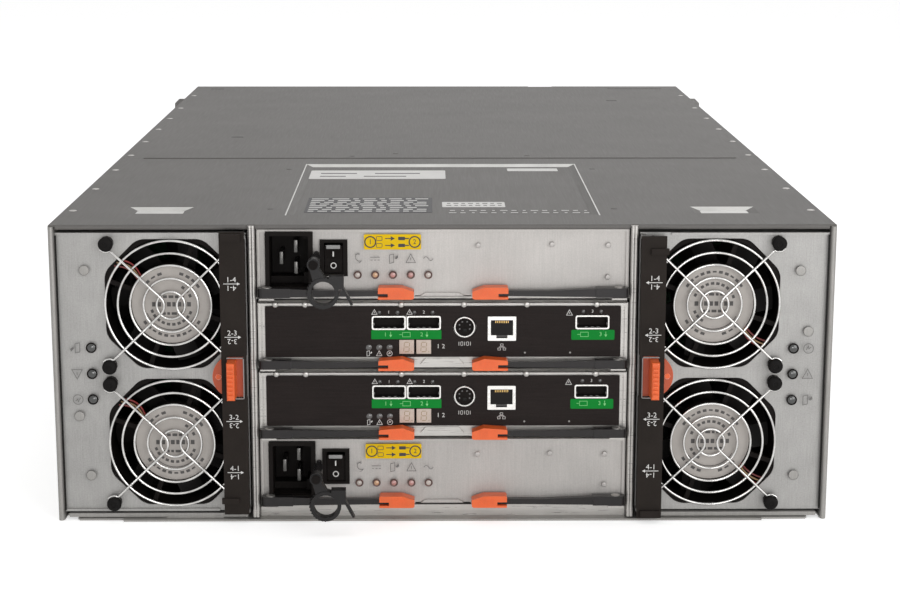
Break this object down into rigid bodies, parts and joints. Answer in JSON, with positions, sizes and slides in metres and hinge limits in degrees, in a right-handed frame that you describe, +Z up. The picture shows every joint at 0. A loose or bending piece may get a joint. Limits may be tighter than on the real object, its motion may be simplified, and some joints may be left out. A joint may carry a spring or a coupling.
{
  "type": "disk shelf enclosure",
  "caption": "Rack-mount disk shelf seen from behind, with fan modules, power supplies, controllers, orange release tabs and front drive drawers.",
  "frame": {"origin": "centre of the underside of the bounding box", "axes": "+X to the right seen from behind, +Y towards the front drawers, +Z up; the rear panels face -Y"},
  "size_m": [0.4826, 0.8256, 0.1751],
  "materials": {
    "case_steel": "zinc plated steel sheet, warm grey",
    "bright_steel": "bright zinc plated steel",
    "ear_paint": "light grey powder coat",
    "board_green": "green circuit board",
    "bright_wire": "nickel plated wire",
    "black_plastic": "black moulded plastic",
    "rotor_plastic": "black moulded plastic",
    "strip_plastic": "dark grey moulded plastic",
    "release_orange": "orange moulded plastic",
    "port_metal": "plated port shells",
    "drawer_black": "black drawer",
    "drive_metal": "cast drive body"
  },
  "bodies": {
    "chassis": {"chassis_tray": "case_steel", "top_cover_rear": "case_steel", "top_cover_front": "case_steel", "bay_dividers": "bright_steel", "module_shelves": "bright_steel", "midplane_board": "board_green", "rack_ears": "ear_paint", "drawer_runners": "bright_steel"},
    "fan_module_left": {"fan_case_left": "bright_steel", "fan_frames_left": "black_plastic", "fan_guards_left": "bright_wire"},
    "fan_rotor_left_low": {"fan_rotor_left_low": "rotor_plastic"},
    "fan_rotor_left_high": {"fan_rotor_left_high": "rotor_plastic"},
    "fan_handle_left": {"fan_handle_left": "strip_plastic"},
    "fan_latch_left": {"fan_latch_left": "release_orange"},
    "fan_module_right": {"fan_case_right": "bright_steel", "fan_frames_right": "black_plastic", "fan_guards_right": "bright_wire"},
    "fan_rotor_right_low": {"fan_rotor_right_low": "rotor_plastic"},
    "fan_rotor_right_high": {"fan_rotor_right_high": "rotor_plastic"},
    "fan_handle_right": {"fan_handle_right": "strip_plastic"},
    "fan_latch_right": {"fan_latch_right": "release_orange"},
    "psu_a": {"psu_case_a": "bright_steel", "psu_inlet_a": "black_plastic"},
    "psu_rocker_a": {"psu_rocker_a": "black_plastic"},
    "cord_clip_a": {"cord_clip_a": "black_plastic"},
    "psu_lever_a_left": {"psu_lever_a_left": "black_plastic"},
    "psu_latch_a_left": {"psu_latch_a_left": "release_orange"},
    "psu_lever_a_right": {"psu_lever_a_right": "black_plastic"},
    "psu_latch_a_right": {"psu_latch_a_right": "release_orange"},
    "psu_b": {"psu_case_b": "bright_steel", "psu_inlet_b": "black_plastic"},
    "psu_rocker_b": {"psu_rocker_b": "black_plastic"},
    "cord_clip_b": {"cord_clip_b": "black_plastic"},
    "psu_lever_b_left": {"psu_lever_b_left": "black_plastic"},
    "psu_latch_b_left": {"psu_latch_b_left": "release_orange"},
    "psu_lever_b_right": {"psu_lever_b_right": "black_plastic"},
    "psu_latch_b_right": {"psu_latch_b_right": "release_orange"},
    "sbb_a": {"sbb_case_a": "bright_steel", "sbb_ports_a": "port_metal"},
    "sbb_lever_a_left": {"sbb_lever_a_left": "black_plastic"},
    "sbb_latch_a_left": {"sbb_latch_a_left": "release_orange"},
    "sbb_lever_a_right": {"sbb_lever_a_right": "black_plastic"},
    "sbb_latch_a_right": {"sbb_latch_a_right": "release_orange"},
    "sbb_b": {"sbb_case_b": "bright_steel", "sbb_ports_b": "port_metal"},
    "sbb_lever_b_left": {"sbb_lever_b_left": "black_plastic"},
    "sbb_latch_b_left": {"sbb_latch_b_left": "release_orange"},
    "sbb_lever_b_right": {"sbb_lever_b_right": "black_plastic"},
    "sbb_latch_b_right": {"sbb_latch_b_right": "release_orange"},
    "drawer_1_unit": {"drawer_1": "drawer_black", "drawer_1_drives": "drive_metal"},
    "drawer_2_unit": {"drawer_2": "drawer_black", "drawer_2_drives": "drive_metal"},
    "drawer_3_unit": {"drawer_3": "drawer_black", "drawer_3_drives": "drive_metal"},
    "drawer_4_unit": {"drawer_4": "drawer_black", "drawer_4_drives": "drive_metal"},
    "drawer_5_unit": {"drawer_5": "drawer_black", "drawer_5_drives": "drive_metal"}
  },
  "joints": [
    {"name": "fan_module_left_pull", "type": "slide", "parent": "chassis", "child": "fan_module_left", "axis": [0, -1, 0], "range_m": [0, 0.3]},
    {"name": "fan_rotor_left_low_spin", "type": "hinge", "parent": "fan_module_left", "child": "fan_rotor_left_low", "pos_m": [-0.1554, -0.35875, 0.0464], "axis": [0, 1, 0], "continuous": true},
    {"name": "fan_rotor_left_high_spin", "type": "hinge", "parent": "fan_module_left", "child": "fan_rotor_left_high", "pos_m": [-0.1554, -0.35875, 0.1282], "axis": [0, 1, 0], "continuous": true},
    {"name": "fan_handle_left_swing", "type": "hinge", "parent": "fan_module_left", "child": "fan_handle_left", "pos_m": [-0.114, -0.38205, 0.0873], "axis": [0, 0, 1], "range_deg": [0, 25]},
    {"name": "fan_latch_left_slide", "type": "slide", "parent": "fan_handle_left", "child": "fan_latch_left", "axis": [1, 0, 0], "range_m": [0, 0.0035]},
    {"name": "fan_module_right_pull", "type": "slide", "parent": "chassis", "child": "fan_module_right", "axis": [0, -1, 0], "range_m": [0, 0.3]},
    {"name": "fan_rotor_right_low_spin", "type": "hinge", "parent": "fan_module_right", "child": "fan_rotor_right_low", "pos_m": [0.1554, -0.35875, 0.0464], "axis": [0, 1, 0], "continuous": true},
    {"name": "fan_rotor_right_high_spin", "type": "hinge", "parent": "fan_module_right", "child": "fan_rotor_right_high", "pos_m": [0.1554, -0.35875, 0.1282], "axis": [0, 1, 0], "continuous": true},
    {"name": "fan_handle_right_swing", "type": "hinge", "parent": "fan_module_right", "child": "fan_handle_right", "pos_m": [0.114, -0.38205, 0.0873], "axis": [0, 0, -1], "range_deg": [0, 25]},
    {"name": "fan_latch_right_slide", "type": "slide", "parent": "fan_handle_right", "child": "fan_latch_right", "axis": [-1, 0, 0], "range_m": [0, 0.0035]},
    {"name": "psu_a_pull", "type": "slide", "parent": "chassis", "child": "psu_a", "axis": [0, -1, 0], "range_m": [0, 0.3]},
    {"name": "psu_rocker_a_tilt", "type": "hinge", "parent": "psu_a", "child": "psu_rocker_a", "pos_m": [-0.0623, -0.37375, 0.1552], "axis": [1, 0, 0], "range_deg": [-20, 0]},
    {"name": "cord_clip_a_swing", "type": "hinge", "parent": "psu_a", "child": "cord_clip_a", "pos_m": [-0.0721, -0.40875, 0.1575], "axis": [0, 1, 0], "range_deg": [-12, 12]},
    {"name": "psu_lever_a_left_swing", "type": "hinge", "parent": "psu_a", "child": "psu_lever_a_left", "pos_m": [-0.1002, -0.38275, 0.1361], "axis": [0, 0, -1], "range_deg": [0, 16]},
    {"name": "psu_latch_a_left_slide", "type": "slide", "parent": "psu_lever_a_left", "child": "psu_latch_a_left", "axis": [-1, 0, 0], "range_m": [0, 0.003]},
    {"name": "psu_lever_a_right_swing", "type": "hinge", "parent": "psu_a", "child": "psu_lever_a_right", "pos_m": [0.1002, -0.38275, 0.1361], "axis": [0, 0, 1], "range_deg": [0, 60]},
    {"name": "psu_latch_a_right_slide", "type": "slide", "parent": "psu_lever_a_right", "child": "psu_latch_a_right", "axis": [1, 0, 0], "range_m": [0, 0.003]},
    {"name": "psu_b_pull", "type": "slide", "parent": "chassis", "child": "psu_b", "axis": [0, -1, 0], "range_m": [0, 0.3]},
    {"name": "psu_rocker_b_tilt", "type": "hinge", "parent": "psu_b", "child": "psu_rocker_b", "pos_m": [-0.0623, -0.37375, 0.0318], "axis": [1, 0, 0], "range_deg": [-20, 0]},
    {"name": "cord_clip_b_swing", "type": "hinge", "parent": "psu_b", "child": "cord_clip_b", "pos_m": [-0.0721, -0.40875, 0.0341], "axis": [0, 1, 0], "range_deg": [-12, 12]},
    {"name": "psu_lever_b_left_swing", "type": "hinge", "parent": "psu_b", "child": "psu_lever_b_left", "pos_m": [-0.1002, -0.38275, 0.0127], "axis": [0, 0, -1], "range_deg": [0, 16]},
    {"name": "psu_latch_b_left_slide", "type": "slide", "parent": "psu_lever_b_left", "child": "psu_latch_b_left", "axis": [-1, 0, 0], "range_m": [0, 0.003]},
    {"name": "psu_lever_b_right_swing", "type": "hinge", "parent": "psu_b", "child": "psu_lever_b_right", "pos_m": [0.1002, -0.38275, 0.0127], "axis": [0, 0, 1], "range_deg": [0, 60]},
    {"name": "psu_latch_b_right_slide", "type": "slide", "parent": "psu_lever_b_right", "child": "psu_latch_b_right", "axis": [1, 0, 0], "range_m": [0, 0.003]},
    {"name": "sbb_a_pull", "type": "slide", "parent": "chassis", "child": "sbb_a", "axis": [0, -1, 0], "range_m": [0, 0.3]},
    {"name": "sbb_lever_a_left_swing", "type": "hinge", "parent": "sbb_a", "child": "sbb_lever_a_left", "pos_m": [-0.1002, -0.38275, 0.09425], "axis": [0, 0, -1], "range_deg": [0, 60]},
    {"name": "sbb_latch_a_left_slide", "type": "slide", "parent": "sbb_lever_a_left", "child": "sbb_latch_a_left", "axis": [-1, 0, 0], "range_m": [0, 0.003]},
    {"name": "sbb_lever_a_right_swing", "type": "hinge", "parent": "sbb_a", "child": "sbb_lever_a_right", "pos_m": [0.1002, -0.38275, 0.09425], "axis": [0, 0, 1], "range_deg": [0, 60]},
    {"name": "sbb_latch_a_right_slide", "type": "slide", "parent": "sbb_lever_a_right", "child": "sbb_latch_a_right", "axis": [1, 0, 0], "range_m": [0, 0.003]},
    {"name": "sbb_b_pull", "type": "slide", "parent": "chassis", "child": "sbb_b", "axis": [0, -1, 0], "range_m": [0, 0.3]},
    {"name": "sbb_lever_b_left_swing", "type": "hinge", "parent": "sbb_b", "child": "sbb_lever_b_left", "pos_m": [-0.1002, -0.38275, 0.05335], "axis": [0, 0, -1], "range_deg": [0, 60]},
    {"name": "sbb_latch_b_left_slide", "type": "slide", "parent": "sbb_lever_b_left", "child": "sbb_latch_b_left", "axis": [-1, 0, 0], "range_m": [0, 0.003]},
    {"name": "sbb_lever_b_right_swing", "type": "hinge", "parent": "sbb_b", "child": "sbb_lever_b_right", "pos_m": [0.1002, -0.38275, 0.05335], "axis": [0, 0, 1], "range_deg": [0, 60]},
    {"name": "sbb_latch_b_right_slide", "type": "slide", "parent": "sbb_lever_b_right", "child": "sbb_latch_b_right", "axis": [1, 0, 0], "range_m": [0, 0.003]},
    {"name": "drawer_1_pull", "type": "slide", "parent": "chassis", "child": "drawer_1_unit", "axis": [0, 1, 0], "range_m": [0, 0.44]},
    {"name": "drawer_2_pull", "type": "slide", "parent": "chassis", "child": "drawer_2_unit", "axis": [0, 1, 0], "range_m": [0, 0.44]},
    {"name": "drawer_3_pull", "type": "slide", "parent": "chassis", "child": "drawer_3_unit", "axis": [0, 1, 0], "range_m": [0, 0.44]},
    {"name": "drawer_4_pull", "type": "slide", "parent": "chassis", "child": "drawer_4_unit", "axis": [0, 1, 0], "range_m": [0, 0.44]},
    {"name": "drawer_5_pull", "type": "slide", "parent": "chassis", "child": "drawer_5_unit", "axis": [0, 1, 0], "range_m": [0, 0.44]}
  ]
}
